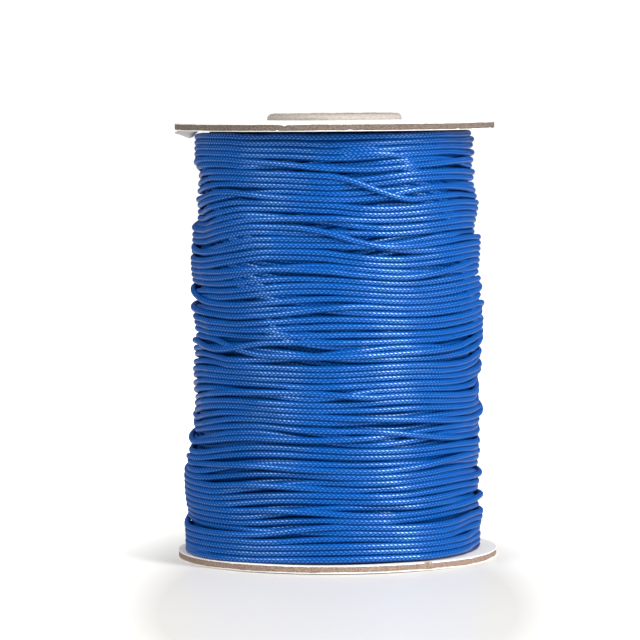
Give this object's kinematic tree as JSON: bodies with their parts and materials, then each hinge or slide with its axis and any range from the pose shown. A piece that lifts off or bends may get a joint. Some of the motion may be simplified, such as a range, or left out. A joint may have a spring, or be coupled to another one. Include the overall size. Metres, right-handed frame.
{
  "type": "cord spool",
  "caption": "Cardboard spool with round flanges on a hollow core tube, wound full with braided waxed cord.",
  "frame": {"origin": "centre of the bottom flange's outer face, the face the spool stands on", "axes": "+Z along the core tube, from the bottom flange up to the flange that the tube stands proud of; the spool is round, so +X and +Y are free (the tape over the cord's start begins at +X)"},
  "size_m": [0.076, 0.076, 0.1054],
  "materials": {
    "greyboard": "matte",
    "white_facing_paper": "matte",
    "tube_paperboard": "matte",
    "tube_wrap_paper": "matte",
    "dried_glue": "satin",
    "adhesive_tape": "gloss",
    "waxed_polyester_cord": "satin"
  },
  "bodies": {
    "root": {"core_tube_inner_ply": "tube_wrap_paper", "core_tube_middle_plies": "tube_paperboard", "core_tube_outer_ply": "tube_wrap_paper", "bottom_flange_outer_paper": "white_facing_paper", "bottom_flange_board": "greyboard", "bottom_flange_inner_paper": "white_facing_paper", "top_flange_inner_paper": "white_facing_paper", "top_flange_board": "greyboard", "top_flange_outer_paper": "white_facing_paper", "bottom_glue_ring": "dried_glue", "top_glue_ring": "dried_glue", "start_tape": "adhesive_tape", "cord_winding": "waxed_polyester_cord"}
  },
  "joints": []
}
